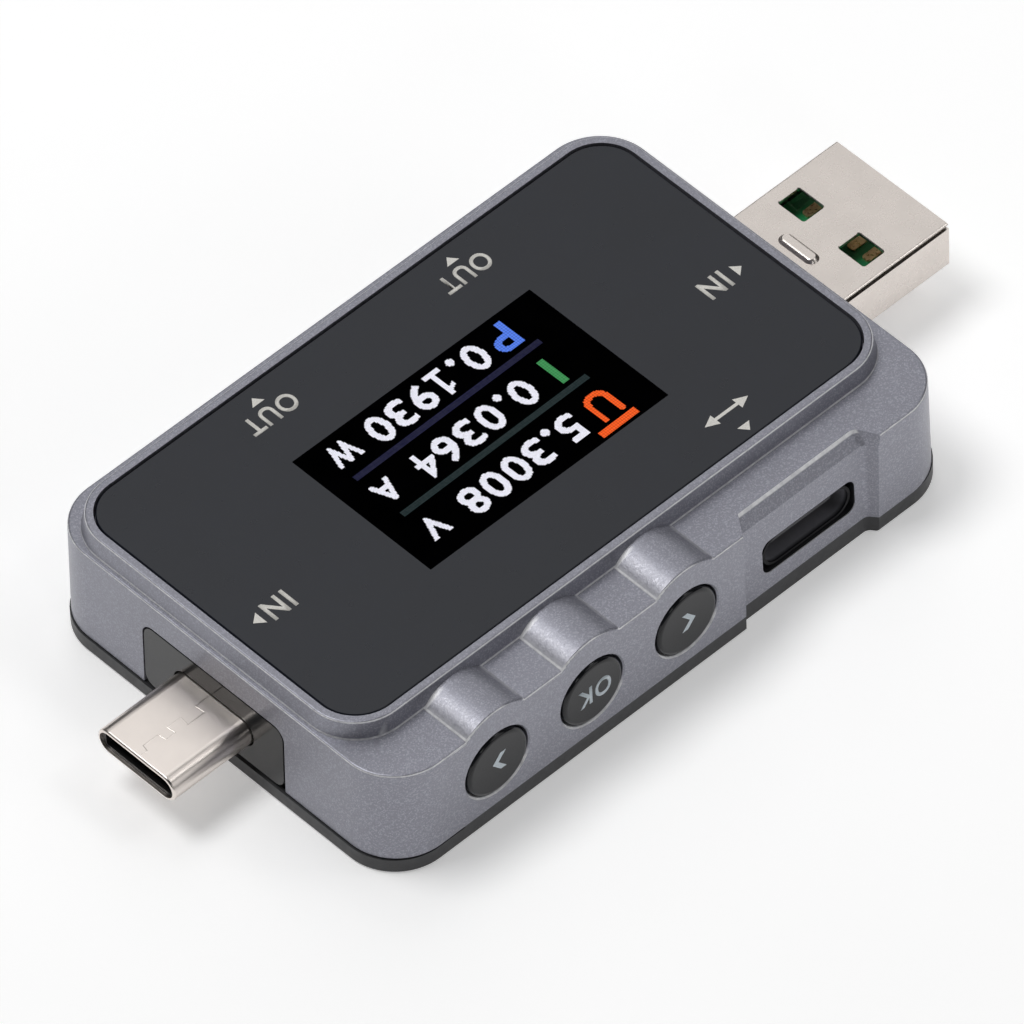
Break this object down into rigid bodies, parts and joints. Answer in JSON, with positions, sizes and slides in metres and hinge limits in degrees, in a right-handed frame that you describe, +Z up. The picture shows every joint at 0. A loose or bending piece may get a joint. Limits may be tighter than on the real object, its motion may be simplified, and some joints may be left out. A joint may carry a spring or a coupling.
{
  "type": "usb power meter",
  "caption": "In-line USB voltage, current and power meter: metal-look case with a display, side buttons, plugs at both ends and sockets along its sides.",
  "frame": {"origin": "on the flat underside, below the middle of the casing", "axes": "+X towards the USB-A plug, +Y towards the long side with the two outlets, +Z up through the display panel"},
  "size_m": [0.0767, 0.0375, 0.012],
  "materials": {
    "shell_paint": "satin metallic grey with a fine sparkle",
    "cover_plastic": "satin charcoal",
    "plate_plastic": "semi-gloss dark grey",
    "panel_print": "satin charcoal panel with a clear black window and light grey marks",
    "adhesive_foam": "black tape",
    "display_glass": "black display glass with lit readings",
    "backlight_plastic": "white",
    "flex_film": "amber film",
    "board_green": "green solder mask",
    "connector_nickel": "warm nickel plating",
    "connector_plastic": "black",
    "socket_black": "blackened",
    "contact_gold": "gold flash",
    "switch_plastic": "black",
    "plunger_plastic": "ivory",
    "button_gloss": "gloss charcoal with a pale blue-grey mark",
    "screw_steel": "blackened steel",
    "chip_epoxy": "moulded black",
    "ferrite": "dark grey ferrite",
    "ceramic_tan": "tan ceramic"
  },
  "bodies": {
    "meter": {"top_shell": "shell_paint", "bottom_cover": "cover_plastic", "end_plate": "plate_plastic", "front_panel": "panel_print", "panel_adhesive": "adhesive_foam", "lcd_glass": "display_glass", "lcd_backlight": "backlight_plastic", "lcd_flex": "flex_film", "main_board": "board_green", "usb_a_plug_shell": "connector_nickel", "usb_a_plug_support": "connector_plastic", "usb_a_plug_stop": "connector_plastic", "usb_a_plug_contacts": "contact_gold", "usb_c_plug_shell": "connector_nickel", "usb_c_plug_insulator": "connector_plastic", "usb_c_plug_contacts": "contact_gold", "data_socket_shell": "socket_black", "data_socket_tongue": "connector_plastic", "data_socket_contacts": "contact_gold", "usb_c_outlet_shell": "connector_nickel", "usb_c_outlet_tongue": "connector_plastic", "usb_c_outlet_contacts": "contact_gold", "usb_a_outlet_shell": "connector_nickel", "usb_a_outlet_tongue": "connector_plastic", "usb_a_outlet_contacts": "contact_gold", "tact_switches": "switch_plastic", "cover_screws": "screw_steel", "microcontroller": "chip_epoxy", "protocol_controller": "chip_epoxy", "voltage_regulator": "chip_epoxy", "current_amplifier": "chip_epoxy", "power_switches": "chip_epoxy", "current_shunt": "chip_epoxy", "power_inductor": "ferrite", "crystal": "connector_nickel", "ceramic_capacitors": "ceramic_tan", "chip_resistors": "chip_epoxy"},
    "button_left": {"button_cap_left": "button_gloss", "switch_plunger_left": "plunger_plastic"},
    "button_middle": {"button_cap_middle": "button_gloss", "switch_plunger_middle": "plunger_plastic"},
    "button_right": {"button_cap_right": "button_gloss", "switch_plunger_right": "plunger_plastic"}
  },
  "joints": [
    {"name": "press_left", "type": "slide", "parent": "meter", "child": "button_left", "axis": [0, 1, 0], "range_m": [0, 0.0003], "stiffness_N_per_m": 300},
    {"name": "press_middle", "type": "slide", "parent": "meter", "child": "button_middle", "axis": [0, 1, 0], "range_m": [0, 0.0003], "stiffness_N_per_m": 300},
    {"name": "press_right", "type": "slide", "parent": "meter", "child": "button_right", "axis": [0, 1, 0], "range_m": [0, 0.0003], "stiffness_N_per_m": 300}
  ]
}
